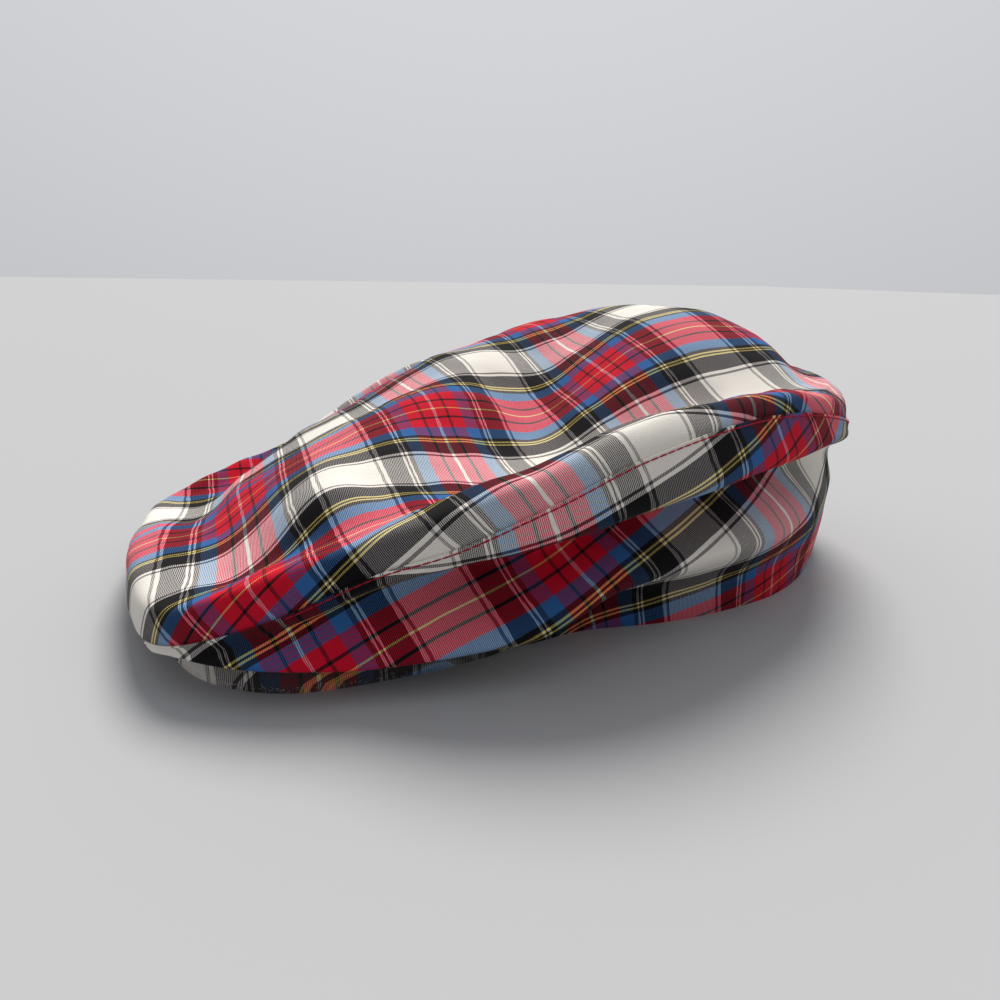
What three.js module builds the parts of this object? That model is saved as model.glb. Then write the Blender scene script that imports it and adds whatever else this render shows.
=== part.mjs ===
// A soft woven flat cap lying on its rim, in millimetres, +Z up.
// The peak points towards -Y and the wearer's left side is +X. The origin is on the floor,
// under the middle of the cap's outline.
import * as THREE from 'three';

// ---- Driving dimensions ------------------------------------------------------------------
const CLOTH = 1.8; // thickness of a sewn panel
const PIECE_GAP = 0.4; // clearance left between neighbouring pieces
const OUTLINE_MIDDLE_Y = -6.6; // middle of the outline, measured from the line that the sections fan out from
const TURN_STEP = 5; // degrees from one section of a shell to the next
const TOP_RINGS = [0.08, 0.17, 0.26, 0.35, 0.44, 0.53, 0.61, 0.69, 0.76, 0.83, 0.89, 0.95]; // shares of the way to the crest

const SECTION_SET_OVER = 12; // a side's sections fan out from as far as this beyond the middle line
const TUCK_SET_OUT = 2; // the tuck stands this far outside the rim
const SHOULDER = 0.8; // from here out to the crest the top climbs to the crest's height

const RIGHT_FOLD_EASE = 0.5; // folds of the right side, for those of the left
const RIGHT_LOWER = 0.09; // the right side lies this much lower
const RIGHT_NOSE_DROP = 0.31; // and the crest of its front corner droops by this much more
const RIGHT_SEAM_DROP = 0.15; // and everything from its seam to its bulge by this much
const RIGHT_NOSE_TURN = -52; // where that droop is deepest
const RIGHT_NOSE_SPREAD = 36;

const PANEL_TIP = -60; // the side panel starts here
const BACK_SEAM = 90; // the two side panels meet here
const STRIP_START = -35; // forward of this the side panel ends on the peak
const STRIP_FULL = -21; // from here on it reaches down to the rim

const PEAK_END = -32; // the peak's left end
const PEAK_DEPTH = 50; // front to back in the middle
const PEAK_END_DEPTH = 10; // and at its ends
const PEAK_EDGE = 2.4; // height of its edge
const PEAK_LAND = 3; // width of the flat it lies on
// Lines of the peak from its edge inwards: share of the depth, height of the upper face.
const PEAK_LINES = [
  { inward: 0.1, height: 7 },
  { inward: 0.5, height: 9.5 },
  { inward: 1, height: 11.5 },
];

// Left side of the cap, a row for each section, turning from the nose (-90) to the back (90).
// Each pair is a distance along the section, from where its fan starts, and a height:
//   crest  where the top turns over          seam   where the top meets the side panel
//   lip    lower edge of the roll            fold   deepest line under the roll
//   bulge  fullest line of the side panel
// swell is how far the roll between crest and seam stands out, for its width, tuck the height
// where the panel tucks in over the rim and rim the rim's distance.
const SIDE_SECTIONS = [
  { turn: -90, crest: [131, 24], swell: 0.25, seam: [141, 10], lip: [141, 9], fold: [141, 8], bulge: [140, 7], tuck: 4, rim: 134 },
  { turn: -75, crest: [133, 24.5], swell: 0.25, seam: [145, 11], lip: [145, 10], fold: [145, 9], bulge: [144, 8], tuck: 5, rim: 137 },
  { turn: -62, crest: [138, 25], swell: 0.3, seam: [149, 14], lip: [149, 12.5], fold: [149, 11.5], bulge: [148, 11], tuck: 7.5, rim: 140 },
  { turn: -52, crest: [124, 35], swell: 0.3, seam: [138, 22], lip: [138, 20], fold: [137, 18], bulge: [142.5, 12], tuck: 8.5, rim: 133.5 },
  { turn: -42, crest: [113, 43], swell: 0.3, seam: [125, 33], lip: [125, 30], fold: [118, 26], bulge: [130, 10.5], tuck: 8, rim: 118 },
  { turn: -32, crest: [112, 53], swell: 0.3, seam: [121, 41], lip: [120, 36], fold: [105, 30], bulge: [122, 13], tuck: 8.5, rim: 104 },
  { turn: -22, crest: [107, 59], swell: 0.3, seam: [119, 51], lip: [119, 42], fold: [101, 33], bulge: [117, 16], tuck: 9, rim: 93 },
  { turn: -10, crest: [101, 67], swell: 0.3, seam: [115, 61.5], lip: [115, 47.5], fold: [96, 40], bulge: [110, 25], tuck: 13, rim: 87 },
  { turn: 5, crest: [101, 71], swell: 0.3, seam: [112, 67.5], lip: [113, 52], fold: [95, 44.5], bulge: [108, 28.5], tuck: 14, rim: 91 },
  { turn: 20, crest: [105, 73], swell: 0.3, seam: [112, 67.5], lip: [114, 55], fold: [98, 47], bulge: [110, 29.5], tuck: 13, rim: 98 },
  { turn: 34, crest: [108, 70], swell: 0.25, seam: [116, 63], lip: [118, 55.5], fold: [104, 48], bulge: [114, 30.5], tuck: 13, rim: 107 },
  { turn: 48, crest: [112, 67.5], swell: 0.15, seam: [120, 57], lip: [121, 52], fold: [115, 45.5], bulge: [117.5, 30], tuck: 12, rim: 114.5 },
  { turn: 65, crest: [117, 68], swell: 0.2, seam: [126, 54], lip: [127, 48], fold: [122, 41.5], bulge: [125, 28.5], tuck: 12, rim: 122 },
  { turn: 90, crest: [115, 69], swell: 0.2, seam: [127, 54.5], lip: [129, 46.5], fold: [125, 40.5], bulge: [127, 27.5], tuck: 12, rim: 123 },
];

// Heights of the crown's top, a row for each section across the cap at a distance along Y,
// a column for each distance along X from the right (-) to the left (+).
const TOP_COLUMNS = [-75, -50, -25, 0, 25, 50, 70];
const TOP_SECTIONS = [
  { along: -125, heights: [8, 11, 15, 20, 24, 23, 18] },
  { along: -106, heights: [15, 22, 28, 33, 32, 31, 28] },
  { along: -89, heights: [27, 33, 38, 42, 45, 46, 42] },
  { along: -72, heights: [38, 43, 46, 50, 49, 45, 40] },
  { along: -55, heights: [45, 50, 53, 57, 51, 43, 43] },
  { along: -38, heights: [53, 60, 61, 62, 49, 42, 45] },
  { along: -20, heights: [59, 69, 68, 61, 46, 43, 50] },
  { along: -3, heights: [67, 73, 70, 55, 47, 44, 53] },
  { along: 13, heights: [72, 77, 68, 60, 58, 50, 56] },
  { along: 29, heights: [79, 81, 74, 73, 69, 55, 58] },
  { along: 46, heights: [82, 85, 83, 84, 77, 62, 62] },
  { along: 63, heights: [82, 89, 90, 89, 82, 68, 65] },
  { along: 81, heights: [78, 88, 90, 90, 83, 73, 66] },
  { along: 98, heights: [71, 81, 85, 84, 78, 69, 60] },
  { along: 116, heights: [61, 73, 77, 76, 72, 62, 52] },
];

// ---- Smooth lines through the tables -----------------------------------------------------
const radians = THREE.MathUtils.degToRad;
const clamp = THREE.MathUtils.clamp;

/** Catmull-Rom value between b and c. */
function between(a, b, c, d, f) {
  return 0.5 * (2 * b + (c - a) * f + (2 * a - 5 * b + 4 * c - d) * f ** 2 + (3 * b - a - 3 * c + d) * f ** 3);
}

/** The right side's section that answers a left one: mirrored, with softer folds. */
function rightSection(left) {
  const side = Math.cos(radians(left.turn));
  const nose = Math.exp(-(((left.turn - RIGHT_NOSE_TURN) / RIGHT_NOSE_SPREAD) ** 2));
  const height = 1 - RIGHT_LOWER * side;
  const foldHeight = height - RIGHT_SEAM_DROP * nose;
  const eased = (distance) => THREE.MathUtils.lerp(left.lip[0], distance, RIGHT_FOLD_EASE);
  return {
    turn: 180 - left.turn,
    crest: [left.crest[0], left.crest[1] * (height - RIGHT_NOSE_DROP * nose)],
    swell: left.swell,
    seam: [left.seam[0], left.seam[1] * foldHeight],
    lip: [left.lip[0], left.lip[1] * foldHeight],
    fold: [eased(left.fold[0]), left.fold[1] * foldHeight],
    bulge: [eased(left.bulge[0]), left.bulge[1] * foldHeight],
    tuck: left.tuck * height,
    rim: left.rim,
  };
}

const ALL_SECTIONS = [...SIDE_SECTIONS, ...SIDE_SECTIONS.slice(1, -1).reverse().map(rightSection)];

/** Section k of the ring, for any whole k, with its turn counted on past a full circle. */
function sectionAt(k) {
  const count = ALL_SECTIONS.length;
  const lap = Math.floor(k / count);
  const section = ALL_SECTIONS[k - lap * count];
  return { section, turn: section.turn + 360 * lap };
}

/** One number of the sections, smoothed round the cap. */
function roundTheCap(turn, pick) {
  const wrapped = THREE.MathUtils.euclideanModulo(turn + 90, 360) - 90;
  let k = 0;
  while (sectionAt(k + 1).turn <= wrapped) k += 1;
  const [before, from, to, after] = [k - 1, k, k + 1, k + 2].map(sectionAt);
  const span = to.turn - from.turn;
  const slope = (a, b) => ((pick(b.section) - pick(a.section)) / (b.turn - a.turn)) * span;
  const f = (wrapped - from.turn) / span;
  const [start, end] = [pick(from.section), pick(to.section)];
  const leaving = slope(before, to) * (f ** 3 - 2 * f ** 2 + f);
  const arriving = slope(from, after) * (f ** 3 - f ** 2);
  return start * (2 * f ** 3 - 3 * f ** 2 + 1) + end * (3 * f ** 2 - 2 * f ** 3) + leaving + arriving;
}

/** The lines of the section at a turn, from crest to rim, as [distance, height]. */
function sectionLines(turn) {
  const pair = (name) => [0, 1].map((k) => roundTheCap(turn, (section) => section[name][k]));
  const crest = pair('crest');
  const seam = pair('seam');
  const [across, down] = [seam[0] - crest[0], seam[1] - crest[1]];
  const swell = roundTheCap(turn, (section) => section.swell);
  const roll = [(crest[0] + seam[0]) / 2 - down * swell, (crest[1] + seam[1]) / 2 + across * swell];
  const rim = roundTheCap(turn, (section) => section.rim);
  const tuck = [rim + TUCK_SET_OUT, roundTheCap(turn, (section) => section.tuck)];
  return [crest, roll, seam, pair('lip'), pair('fold'), pair('bulge'), tuck, [rim, 0]];
}
const SEAM_LINE = 2; // places in that list
const ON_PEAK_LINE = 5.7; // just under the bulge, where the side panel ends on the peak
const RIM_LINE = 7;

/** Where along X the section at a turn starts; both sides' sections meet at nose and back. */
function fanStart(turn) {
  const wrapped = THREE.MathUtils.euclideanModulo(turn + 90, 360) - 90;
  const leftSide = wrapped <= BACK_SEAM;
  const fromMiddle = (leftSide ? wrapped : 180 - wrapped) / 90;
  return (leftSide ? -1 : 1) * SECTION_SET_OVER * (1 - fromMiddle ** 4);
}

function alongSection(turn, distance, z) {
  const x = fanStart(turn) + Math.cos(radians(turn)) * distance;
  return new THREE.Vector3(x, Math.sin(radians(turn)) * distance, z);
}

/** Point on the outside of the cap, line 0 being the crest and line 7 the rim. */
function sidePoint(turn, line) {
  const lines = sectionLines(turn).map(([distance, z]) => new THREE.Vector2(distance, z));
  const k = Math.min(Math.floor(line), lines.length - 2);
  const [from, to] = [lines[k], lines[k + 1]];
  const length = from.distanceTo(to);
  const heading = (a, here, b) => b.clone().sub(a).divideScalar(a.distanceTo(here) + here.distanceTo(b));
  const leaving = heading(lines[Math.max(k - 1, 0)], from, to).multiplyScalar(length);
  const arriving = heading(from, to, lines[Math.min(k + 2, lines.length - 1)]).multiplyScalar(length);
  const f = line - k;
  const point = from.clone().multiplyScalar(2 * f ** 3 - 3 * f ** 2 + 1);
  point.addScaledVector(to, 3 * f ** 2 - 2 * f ** 3);
  point.addScaledVector(leaving, f ** 3 - 2 * f ** 2 + f);
  point.addScaledVector(arriving, f ** 3 - f ** 2);
  return alongSection(turn, point.x, line === RIM_LINE ? 0 : point.y);
}

/** Outward direction of the cap's outside at that point. */
function sideOutward(turn, line) {
  const SMALL_TURN = 0.5;
  const SMALL_LINE = 0.1;
  const around = sidePoint(turn + SMALL_TURN, line).sub(sidePoint(turn - SMALL_TURN, line));
  const down = sidePoint(turn, line + SMALL_LINE).sub(sidePoint(turn, line - SMALL_LINE));
  return down.cross(around).normalize();
}

/** Place of a value in an increasing list: the entry before it and the share of the way on. */
function place(list, value) {
  let k = 0;
  while (k < list.length - 2 && list[k + 1] <= value) k += 1;
  return [k, clamp((value - list[k]) / (list[k + 1] - list[k]), 0, 1)];
}

/** Height of the crown's top from the table. */
function topHeight(x, y) {
  const [row, alongShare] = place(TOP_SECTIONS.map((section) => section.along), y);
  const [column, acrossShare] = place(TOP_COLUMNS, x);
  const height = (i, j) => {
    const { heights } = TOP_SECTIONS[clamp(i, 0, TOP_SECTIONS.length - 1)];
    return heights[clamp(j, 0, heights.length - 1)];
  };
  const across = (i) => between(...[-1, 0, 1, 2].map((j) => height(i, column + j)), acrossShare);
  return between(...[-1, 0, 1, 2].map((i) => across(row + i)), alongShare);
}

/** Point on the top, from the centre (0) out to the crest (1). */
function topPoint(turn, outward) {
  const crest = sidePoint(turn, 0);
  const x = crest.x * outward;
  const y = crest.y * outward;
  const climb = THREE.MathUtils.smoothstep(outward, SHOULDER, 1);
  return new THREE.Vector3(x, y, THREE.MathUtils.lerp(topHeight(x, y), crest.z, climb));
}

// ---- Solids ------------------------------------------------------------------------------
/** Two triangles over each cell between neighbouring rows of equal length. */
function cells(rows, closed) {
  const triangles = [];
  for (let i = 0; i < rows.length - 1; i += 1) {
    const count = rows[i].length;
    for (let j = 0; j < (closed ? count : count - 1); j += 1) {
      const next = (j + 1) % count;
      const [a, b, c, d] = [rows[i][j], rows[i][next], rows[i + 1][next], rows[i + 1][j]];
      triangles.push([a, d, c], [a, c, b]);
    }
  }
  return triangles;
}

/** A mesh from shared points and triangles. */
function solid(name, points, triangles, colour) {
  const geometry = new THREE.BufferGeometry();
  geometry.setAttribute('position', new THREE.Float32BufferAttribute(points.flatMap((p) => p.toArray()), 3));
  geometry.setIndex(triangles.flat());
  geometry.computeVertexNormals();
  const mesh = new THREE.Mesh(geometry, new THREE.MeshStandardMaterial({ color: colour, roughness: 0.9, metalness: 0 }));
  mesh.name = name;
  return mesh;
}

/**
 * Turns a sheet whose faces look outwards into a closed wall. Points that have a neighbouring
 * piece bring their own outward direction, so that both pieces end square to the same line.
 */
function wall(name, points, triangles, ownOutward, colour) {
  const normals = points.map(() => new THREE.Vector3());
  const edges = new Map();
  for (const [a, b, c] of triangles) {
    const ab = points[b].clone().sub(points[a]);
    const face = ab.cross(points[c].clone().sub(points[a]));
    for (const corner of [a, b, c]) normals[corner].add(face);
    for (const [from, to] of [[a, b], [b, c], [c, a]]) {
      if (!edges.delete(`${to},${from}`)) edges.set(`${from},${to}`, [from, to]);
    }
  }
  const inside = points.map((point, k) => {
    const outward = ownOutward.get(k) ?? normals[k].normalize();
    const inner = point.clone().addScaledVector(outward, -CLOTH);
    inner.z = point.z === 0 ? 0 : inner.z;
    return inner;
  });
  const count = points.length;
  const back = triangles.map(([a, b, c]) => [a + count, c + count, b + count]);
  const hems = [...edges.values()].flatMap(([from, to]) => [
    [from, from + count, to + count],
    [from, to + count, to],
  ]);
  return solid(name, [...points, ...inside], [...triangles, ...back, ...hems], colour);
}

function steps(from, to, step) {
  const count = Math.round(Math.abs(to - from) / step);
  return Array.from({ length: count + 1 }, (_, k) => from + ((to - from) * k) / count);
}

/** The crown's top: one panel from the centre over the crest down to the seam. */
function topPanel() {
  const turns = steps(-90, 270, TURN_STEP).slice(0, -1);
  const rings = [
    ...TOP_RINGS.map((outward) => turns.map((t) => topPoint(t, outward))),
    ...[0, 0.5, 1, 1.5, SEAM_LINE].map((line) => turns.map((t) => sidePoint(t, line))),
  ];
  const points = [topPoint(0, 0), ...rings.flat()];
  const rows = rings.map((ring, i) => ring.map((_, j) => 1 + i * turns.length + j));
  const middle = rows[0].map((corner, j) => [0, corner, rows[0][(j + 1) % turns.length]]);
  const ownOutward = new Map(rows.at(-1).map((corner, j) => [corner, sideOutward(turns[j], SEAM_LINE)]));
  return wall('top_panel', points, [...middle, ...cells(rows, true)], ownOutward, 0xb03040);
}

/** How far down the side panel reaches: to the peak at the front, to the rim elsewhere. */
function lowerLine(turn) {
  return THREE.MathUtils.lerp(ON_PEAK_LINE, RIM_LINE, THREE.MathUtils.smoothstep(turn, STRIP_START, STRIP_FULL));
}

/** A side panel from the seam over lip, fold, bulge and tuck down to the rim. */
function sidePanel(name, mirrored, colour) {
  const gapTurn = PIECE_GAP / 2 / sidePoint(BACK_SEAM - 1, SEAM_LINE).x; // x is what one degree spans there
  const turns = steps(PANEL_TIP, BACK_SEAM - gapTurn, TURN_STEP);
  const DOWN_STEPS = 14;
  const SEAM_ROWS = 2; // this far down the wall keeps the seam's direction
  const rows = [];
  const points = [];
  const ownOutward = new Map();
  for (let i = 0; i <= DOWN_STEPS; i += 1) {
    rows.push([]);
    turns.forEach((leftTurn, j) => {
      const turn = mirrored ? 180 - leftTurn : leftTurn;
      const lines = sectionLines(turn);
      const [seam, lip] = [lines[SEAM_LINE], lines[SEAM_LINE + 1]];
      const start = SEAM_LINE + PIECE_GAP / Math.hypot(lip[0] - seam[0], lip[1] - seam[1]);
      const line = THREE.MathUtils.lerp(start, lowerLine(leftTurn), i / DOWN_STEPS);
      const atSeam = i <= SEAM_ROWS;
      const atBack = j === turns.length - 1;
      if (atSeam || atBack) ownOutward.set(points.length, sideOutward(turn, atSeam ? SEAM_LINE : line));
      rows[i].push(points.length);
      points.push(sidePoint(turn, line));
    });
  }
  const triangles = cells(rows, false).map(([a, b, c]) => (mirrored ? [a, c, b] : [a, b, c]));
  return wall(name, points, triangles, ownOutward, colour);
}

/** The covered peak: a crescent that lies on the flat of its edge and arches up inwards. */
function peak() {
  const points = [];
  const rows = steps(-180 - PEAK_END, PEAK_END, TURN_STEP / 1.5).map((turn) => {
    const edge = roundTheCap(turn, (section) => section.rim);
    const middle = Math.cos(((turn + 90) / (PEAK_END + 90)) * (Math.PI / 2));
    const depth = THREE.MathUtils.lerp(PEAK_END_DEPTH, PEAK_DEPTH, middle);
    const upper = PEAK_LINES.map(({ inward, height }) => [edge - inward * depth, height]);
    const lower = upper.map(([distance, height]) => [distance - (PEAK_EDGE * height) / 20, height - PEAK_EDGE]);
    const outline = [[edge, 0], [edge, PEAK_EDGE], ...upper, ...lower.reverse(), [edge - PEAK_LAND, 0]];
    return outline.map(([distance, z]) => points.push(alongSection(turn, distance, z)) - 1);
  });
  const end = (row) => row.slice(1, -1).map((corner, k) => [row[0], corner, row[k + 2]]);
  const ends = [...end(rows[0]), ...end([...rows.at(-1)].reverse())];
  return solid('peak', points, [...cells(rows, true), ...ends], 0x3a3a42);
}

const cap = new THREE.Group();
cap.add(topPanel(), sidePanel('side_panel_left', false, 0x28466e), sidePanel('side_panel_right', true, 0x6e2430), peak());
cap.position.y = -OUTLINE_MIDDLE_Y;

export default cap;
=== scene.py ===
"""A soft woven flat cap lying on its rim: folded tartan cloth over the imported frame.

The part's own frame is kept: +Z up, the peak towards -Y, the wearer's left side +X.
Shapes are worked out in millimetres and made in metres.
"""

import math

import bpy
import numpy as np
from mathutils import Matrix, Vector


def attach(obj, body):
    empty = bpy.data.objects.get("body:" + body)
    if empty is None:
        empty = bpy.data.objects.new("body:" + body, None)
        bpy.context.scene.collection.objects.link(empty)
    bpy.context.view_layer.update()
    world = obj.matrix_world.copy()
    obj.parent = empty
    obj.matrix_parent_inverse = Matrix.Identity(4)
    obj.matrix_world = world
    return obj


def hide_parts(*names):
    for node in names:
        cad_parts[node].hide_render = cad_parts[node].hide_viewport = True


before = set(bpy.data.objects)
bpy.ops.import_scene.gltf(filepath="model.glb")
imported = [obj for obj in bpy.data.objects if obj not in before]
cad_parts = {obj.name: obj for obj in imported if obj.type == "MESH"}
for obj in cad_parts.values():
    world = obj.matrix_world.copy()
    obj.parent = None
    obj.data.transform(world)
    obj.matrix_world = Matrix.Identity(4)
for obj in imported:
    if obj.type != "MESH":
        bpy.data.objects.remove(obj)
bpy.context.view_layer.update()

MM = 0.001
CLOTH = 1.4  # wall thickness of the sewn cloth
OUTLINE_MIDDLE_Y = -6.6  # middle of the outline as the sections are counted; it is moved to 0
SETT = 70.0  # one repeat of the tartan
SEED = 7

# ---- Shape of the folded cap ------------------------------------------------------------
# Turns are in degrees round the cap: -90 is the nose, 0 the left, 90 the back and 180 the right.
SECTION_SET_OVER = 12.0  # a side's sections fan out from this far beyond the middle line
SHOULDER = 0.8  # share of the way out from which the top climbs to meet the crest
FIRST_RING = 0.015  # share of the way out at which the top's first ring lies
TUCK_SET_OUT = 2.0  # the tuck above the rim stands out this far from it

# The right side is the left one mirrored, with these changes.
RIGHT_FOLD_EASE = 0.5  # share of the folds' depth that it keeps
RIGHT_LOWER = 0.09  # share by which it is lower at its middle
RIGHT_NOSE_DROP = 0.34  # share by which its crest is lower still beside the nose
RIGHT_SEAM_DROP = 0.15  # and its seam and folds
RIGHT_NOSE_TURN = -52.0  # the turn, on the left, at which that drop is full
RIGHT_NOSE_SPREAD = 36.0  # degrees over which it dies away

# Lines along the cap are counted from the crest (0) down: 2 is the seam and 7 the rim.
SEAM_LINE = 2
ON_PEAK_LINE = 5.7  # where a side panel ends on the peak, just under its bulge
RIM_LINE = 7
PANEL_TIP = -65.0  # turn to which a side panel reaches forward
TIP_TAPER = 5.0  # degrees behind the tip at which the panel is fully open
TIP_BLUNT = 2.0  # degrees in front of the tip at which it would close
TIP_OPEN = 0.4  # how many lines it is open there
STRIP_START = -35.0  # forward of this turn a side panel ends on the peak
STRIP_FULL = -21.0  # from here on it reaches down to the rim

# The left side, a row for each section from the nose (-90) to the back (90).
# turn, crest, swell of the roll, seam, lip, fold, bulge, height of the tuck, rim
SIDE_SECTIONS = [
    (-90, (131, 24), 0.25, (141, 10), (141, 9), (141, 8), (140, 7), 4, 134),
    (-75, (133, 24.5), 0.25, (145, 11), (145, 10), (145, 9), (144, 8), 5, 137),
    (-62, (138, 25), 0.3, (149, 14), (149, 12.5), (149, 11.5), (148, 11), 7.5, 140),
    (-52, (124, 35), 0.3, (138, 22), (138, 20), (137, 18), (142.5, 12), 8.5, 133.5),
    (-42, (113, 43), 0.3, (125, 33), (125, 30), (118, 26), (130, 10.5), 8, 118),
    (-32, (112, 53), 0.3, (121, 41), (120, 36), (105, 30), (122, 13), 8.5, 104),
    (-22, (107, 59), 0.3, (119, 51), (119, 42), (101, 33), (117, 16), 9, 93),
    (-10, (101, 67), 0.3, (115, 61.5), (115, 47.5), (96, 40), (110, 25), 13, 87),
    (5, (101, 71), 0.3, (112, 67.5), (113, 52), (95, 44.5), (108, 28.5), 14, 91),
    (20, (105, 73), 0.3, (112, 67.5), (114, 55), (98, 47), (110, 29.5), 13, 98),
    (34, (108, 70), 0.25, (116, 63), (118, 55.5), (104, 48), (114, 30.5), 13, 107),
    (48, (112, 67.5), 0.15, (120, 57), (121, 52), (115, 45.5), (117.5, 30), 12, 114.5),
    (65, (117, 68), 0.2, (126, 54), (127, 48), (122, 41.5), (125, 28.5), 12, 122),
    (90, (115, 69), 0.2, (127, 54.5), (129, 46.5), (125, 40.5), (127, 27.5), 12, 123),
]

# Heights of the crown's top: a row for each section along Y, a column for each X.
TOP_COLUMNS = [-75, -50, -25, 0, 25, 50, 70]
TOP_SECTIONS = [
    (-125, (8, 11, 15, 20, 24, 23, 18)),
    (-106, (15, 22, 28, 33, 32, 31, 28)),
    (-89, (27, 33, 38, 42, 45, 46, 42)),
    (-72, (38, 43, 46, 50, 49, 45, 40)),
    (-55, (45, 50, 53, 57, 51, 43, 43)),
    (-38, (53, 60, 61, 62, 49, 42, 45)),
    (-20, (59, 69, 68, 61, 46, 43, 50)),
    (-3, (67, 73, 70, 55, 47, 44, 53)),
    (13, (72, 77, 68, 60, 58, 50, 56)),
    (29, (79, 81, 74, 73, 69, 55, 58)),
    (46, (82, 85, 83, 84, 77, 62, 62)),
    (63, (82, 89, 90, 89, 82, 68, 65)),
    (81, (78, 88, 90, 90, 83, 73, 66)),
    (98, (71, 81, 85, 84, 78, 69, 60)),
    (116, (61, 73, 77, 76, 72, 62, 52)),
]


def right_sections():
    """The right side's rows: the left ones mirrored, lower and with softer folds."""
    rows = []
    for turn, crest, swell, seam, lip, fold, bulge, tuck, rim in SIDE_SECTIONS[1:-1]:
        height = 1 - RIGHT_LOWER * math.cos(math.radians(turn))
        nose = math.exp(-(((turn - RIGHT_NOSE_TURN) / RIGHT_NOSE_SPREAD) ** 2))
        crest_low = (crest[0], crest[1] * (height - RIGHT_NOSE_DROP * nose))
        row = [180 - turn, crest_low, swell]
        eases = (1, 1, RIGHT_FOLD_EASE, RIGHT_FOLD_EASE)
        for (distance, up), ease in zip((seam, lip, fold, bulge), eases):
            eased = lip[0] + (distance - lip[0]) * ease
            row.append((eased, up * (height - RIGHT_SEAM_DROP * nose)))
        rows.append((*row, tuck * height, rim))
    return rows[::-1]


def flat_rows():
    """Every section as one line of numbers, round the whole cap."""
    rows = []
    for turn, crest, swell, seam, lip, fold, bulge, tuck, rim in SIDE_SECTIONS + right_sections():
        rows.append([turn, *crest, swell, *seam, *lip, *fold, *bulge, tuck, rim])
    return np.array(rows, float)


SECTIONS = flat_rows()


def wrap(turn):
    """The same turn as a value from -90 up to 270."""
    return (np.asarray(turn, float) + 90) % 360 - 90


def ease_shares(f):
    """How much the start, its slope, the end and its slope count for at share f of a smooth way."""
    return 2 * f**3 - 3 * f**2 + 1, f**3 - 2 * f**2 + f, 3 * f**2 - 2 * f**3, f**3 - f**2


def round_the_cap(turn):
    """The sections' numbers smoothed round the cap, at any turns."""
    turns, values = SECTIONS[:, 0], SECTIONS[:, 1:]
    turns = np.concatenate([turns - 360, turns, turns + 360])
    values = np.concatenate([values, values, values])
    slope = np.zeros_like(values)
    slope[1:-1] = (values[2:] - values[:-2]) / (turns[2:] - turns[:-2])[:, None]
    wrapped = wrap(turn)
    k = np.clip(np.searchsorted(turns, wrapped, side="right") - 1, 1, len(turns) - 3)
    span = (turns[k + 1] - turns[k])[..., None]
    start, leave, end, arrive = ease_shares((wrapped[..., None] - turns[k][..., None]) / span)
    before = values[k] * start + slope[k] * span * leave
    after = values[k + 1] * end + slope[k + 1] * span * arrive
    return before + after


def rim_distance(turn):
    """How far out the rim lies on the section at a turn."""
    return round_the_cap(turn)[..., -1]


def section_lines(turn):
    """(..., 8, 2): distance and height of the lines from crest to rim."""
    numbers = round_the_cap(turn)
    crest, swell, seam, lip, fold, bulge, tuck, rim = np.split(numbers, [2, 3, 5, 7, 9, 11, 12], -1)
    across, down = np.split(seam - crest, 2, -1)
    roll = (crest + seam) / 2 + swell * np.concatenate([-down, across], -1)
    tucked = np.concatenate([rim + TUCK_SET_OUT, tuck], -1)
    on_floor = np.concatenate([rim, rim * 0], -1)
    return np.stack([crest, roll, seam, lip, fold, bulge, tucked, on_floor], -2)


def along_section(turn, distance, height):
    """A point on the section at a turn; both sides' sections meet at nose and back."""
    wrapped = wrap(turn)
    left = wrapped <= 90
    from_middle = np.where(left, wrapped, 180 - wrapped) / 90
    start = np.where(left, -1, 1) * SECTION_SET_OVER * (1 - from_middle**4)
    angle = np.radians(turn)
    x, y = start + np.cos(angle) * distance, np.sin(angle) * distance
    return np.stack(np.broadcast_arrays(x, y, height), -1)


def side_points(turn, line):
    """Points on the outside of the cap, by turn and line."""
    turn, line = np.broadcast_arrays(np.asarray(turn, float), np.asarray(line, float))
    lines = section_lines(turn)
    k = np.clip(np.floor(line).astype(int), 0, RIM_LINE - 1)

    def pick(i):
        i = np.clip(i, 0, RIM_LINE)[..., None, None]
        return np.take_along_axis(lines, i, -2)[..., 0, :]

    before, here, there, after = pick(k - 1), pick(k), pick(k + 1), pick(k + 2)
    long = np.linalg.norm(there - here, axis=-1, keepdims=True)
    way_in = np.linalg.norm(here - before, axis=-1, keepdims=True) + long
    way_out = np.linalg.norm(after - there, axis=-1, keepdims=True) + long
    leaving = (there - before) / way_in * long
    arriving = (after - here) / way_out * long
    start, leave, end, arrive = ease_shares((line - k)[..., None])
    point = here * start + leaving * leave + there * end + arriving * arrive
    return along_section(turn, point[..., 0], point[..., 1])


def between(a, b, c, d, f):
    """A smooth value at share f from b to c, where a comes before them and d after."""
    straight = 2 * b + (c - a) * f
    return 0.5 * (straight + (2 * a - 5 * b + 4 * c - d) * f**2 + (3 * b - a - 3 * c + d) * f**3)


def in_cell(spot, i, j, f, g):
    """A smooth value in cell (i, j) of a grid, at shares f and g; spot reads the grid."""
    lines = []
    for a in (-1, 0, 1, 2):
        lines.append(between(*[spot(i + a, j + b) for b in (-1, 0, 1, 2)], g))
    return between(*lines, f)


def place(steps, value):
    """Which step a value comes after, and its share of the way to the next."""
    steps = np.asarray(steps, float)
    k = np.clip(np.searchsorted(steps, value, side="right") - 1, 0, len(steps) - 2)
    return k, np.clip((value - steps[k]) / (steps[k + 1] - steps[k]), 0, 1)


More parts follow.
